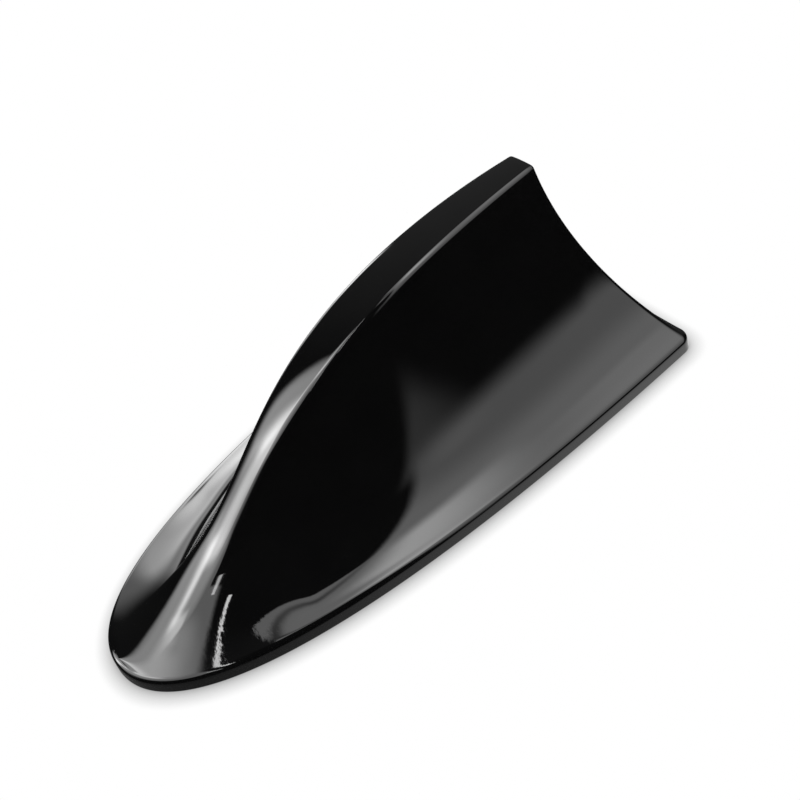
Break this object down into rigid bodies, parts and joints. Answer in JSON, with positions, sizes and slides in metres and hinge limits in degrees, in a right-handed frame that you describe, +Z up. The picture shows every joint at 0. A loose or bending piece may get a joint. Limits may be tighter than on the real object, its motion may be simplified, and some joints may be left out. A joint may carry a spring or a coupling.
{
  "type": "shark fin aerial",
  "caption": "Stick-on shark fin aerial for a car roof: gloss shell on a taped base, with amplifier board, coil and lead gland inside.",
  "frame": {"origin": "middle of the underside, on the plane that sticks to the roof", "axes": "+X towards the nose (forward), +Y to the car's left, +Z up away from the roof"},
  "size_m": [0.166, 0.0744, 0.0566],
  "materials": {
    "fin_cover": "high gloss black",
    "rim_seal": "matt",
    "base_plate": "fine textured black",
    "adhesive_tape": "foam",
    "cover_screws": "zinc plated",
    "cable_gland": "matt",
    "ground_plate": "tinned",
    "main_board": "solder mask",
    "board_screws": "plated",
    "shield_can": "tinned",
    "amplifier_chip": "moulded",
    "chip_capacitors": "satin",
    "electrolytic_caps": "satin",
    "choke_core": "sintered",
    "choke_winding": "enamelled copper",
    "lead_jack": "plated",
    "jack_pin": "plated",
    "power_socket": "natural nylon",
    "power_pins": "tinned",
    "aerial_board": "solder mask",
    "feed_clip": "phosphor bronze",
    "coil_former": "natural nylon",
    "aerial_coil": "enamelled copper",
    "capacity_plate": "tinned",
    "foam_strip": "foam"
  },
  "bodies": {
    "root": {"fin_cover": "fin_cover", "rim_seal": "rim_seal", "base_plate": "base_plate", "adhesive_tape": "adhesive_tape", "cover_screws": "cover_screws", "cable_gland": "cable_gland", "ground_plate": "ground_plate", "main_board": "main_board", "board_screws": "board_screws", "shield_can": "shield_can", "amplifier_chip": "amplifier_chip", "chip_capacitors": "chip_capacitors", "electrolytic_caps": "electrolytic_caps", "choke_core": "choke_core", "choke_winding": "choke_winding", "lead_jack": "lead_jack", "jack_pin": "jack_pin", "power_socket": "power_socket", "power_pins": "power_pins", "aerial_board": "aerial_board", "feed_clip": "feed_clip", "coil_former": "coil_former", "aerial_coil": "aerial_coil", "capacity_plate": "capacity_plate", "foam_strip": "foam_strip"}
  },
  "joints": []
}
